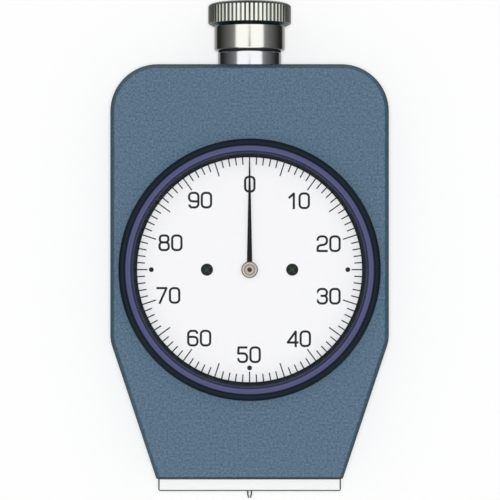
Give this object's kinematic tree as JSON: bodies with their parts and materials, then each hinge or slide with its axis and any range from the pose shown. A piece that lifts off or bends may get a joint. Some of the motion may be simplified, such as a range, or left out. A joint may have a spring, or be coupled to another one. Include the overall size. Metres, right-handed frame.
{
  "type": "dial durometer",
  "caption": "Hand-held dial hardness tester for rubber: tapered case, round dial with a pointer, flat foot with a sprung indenter, screwed knob on top.",
  "frame": {"origin": "on the dial's axis, in the flat back face of the cover, on which the durometer lies", "axes": "+Z out of the dial, +Y towards the knob, +X to the right when the dial is read"},
  "size_m": [0.067, 0.121, 0.0314],
  "materials": {
    "case_paint": "fine-textured blue-grey paint on a die casting",
    "cover_paint": "fine-textured blue-grey paint",
    "bright_steel": "ground and polished",
    "screw_steel": "plain zinc-plated",
    "bezel_black": "black with a violet-blue top band",
    "seal_rubber": "black",
    "clear_window": "clear and flat",
    "dial_white": "satin white",
    "black_oxide": "black, low sheen",
    "chrome_plate": "bright plating",
    "movement_brass": "lapped",
    "guide_bronze": "turned bronze",
    "spring_steel": "hardened wire",
    "blued_steel": "blued strip",
    "hub_metal": "pale nickel-plated brass",
    "needle_black": "matt black"
  },
  "bodies": {
    "case": {"case_shell": "case_paint", "back_cover": "cover_paint", "cover_screws": "screw_steel", "pressure_foot": "bright_steel", "foot_screws": "screw_steel", "bezel": "bezel_black", "crystal_gasket": "seal_rubber", "crystal": "clear_window", "dial_plate": "dial_white", "dial_screws": "black_oxide", "dial_posts": "movement_brass", "stem": "chrome_plate", "stem_nut": "screw_steel", "lower_bush": "guide_bronze", "upper_bush": "guide_bronze", "spring_adjuster": "movement_brass", "main_spring": "spring_steel", "main_plate": "movement_brass", "plate_screws": "screw_steel", "front_plate": "movement_brass", "movement_pillars": "movement_brass", "pillar_screws": "screw_steel", "pinion_bridge": "movement_brass", "guide_block": "screw_steel", "guide_screws": "screw_steel", "hairspring": "blued_steel", "hairspring_stud": "movement_brass"},
    "plunger": {"spindle": "bright_steel", "indenter": "bright_steel", "guide_pin": "spring_steel"},
    "first_wheel": {"rack_arbor": "spring_steel", "rack_wheel": "movement_brass"},
    "needle": {"pointer_arbor": "spring_steel", "pointer": "needle_black", "pointer_hub": "hub_metal"},
    "takeup": {"takeup_arbor": "spring_steel", "takeup_wheel": "movement_brass", "hairspring_collet": "movement_brass"},
    "knob_seal": {"knob_washer": "seal_rubber"},
    "knob_cap": {"knob": "chrome_plate"}
  },
  "joints": [
    {"name": "indenter_slide", "type": "slide", "parent": "case", "child": "plunger", "axis": [0, 1, 0], "range_m": [0, 0.0025], "stiffness_N_per_m": 3000, "springref_m": -0.00018, "deforming": ["main_spring", "hairspring"]},
    {"name": "first_wheel_turn", "type": "hinge", "parent": "case", "child": "first_wheel", "pos_m": [-0.00354, -0.01199, 0.0168], "axis": [0, 0, 1], "range_deg": [0, 90]},
    {"name": "pointer_turn", "type": "hinge", "parent": "case", "child": "needle", "pos_m": [0, 0, 0.0258], "axis": [0, 0, -1], "range_deg": [0, 360]},
    {"name": "takeup_turn", "type": "hinge", "parent": "case", "child": "takeup", "pos_m": [0.00799, 0.00602, 0.018], "axis": [0, 0, 1], "range_deg": [0, 120]},
    {"name": "knob_lift", "type": "slide", "parent": "case", "child": "knob_seal", "axis": [0, 1, 0], "range_m": [0, 0.006]},
    {"name": "knob_turn", "type": "hinge", "parent": "knob_seal", "child": "knob_cap", "pos_m": [0, 0.058, 0.012], "axis": [0, 1, 0], "range_deg": [0, 2160]}
  ],
  "couplings": [
    {"joint": "first_wheel_turn", "follows": "indenter_slide", "rad_per_m": 628.32},
    {"joint": "pointer_turn", "follows": "indenter_slide", "rad_per_m": 2513.3},
    {"joint": "takeup_turn", "follows": "indenter_slide", "rad_per_m": 837.76},
    {"joint": "knob_lift", "follows": "knob_turn", "m_per_rad": 0.00015915}
  ]
}
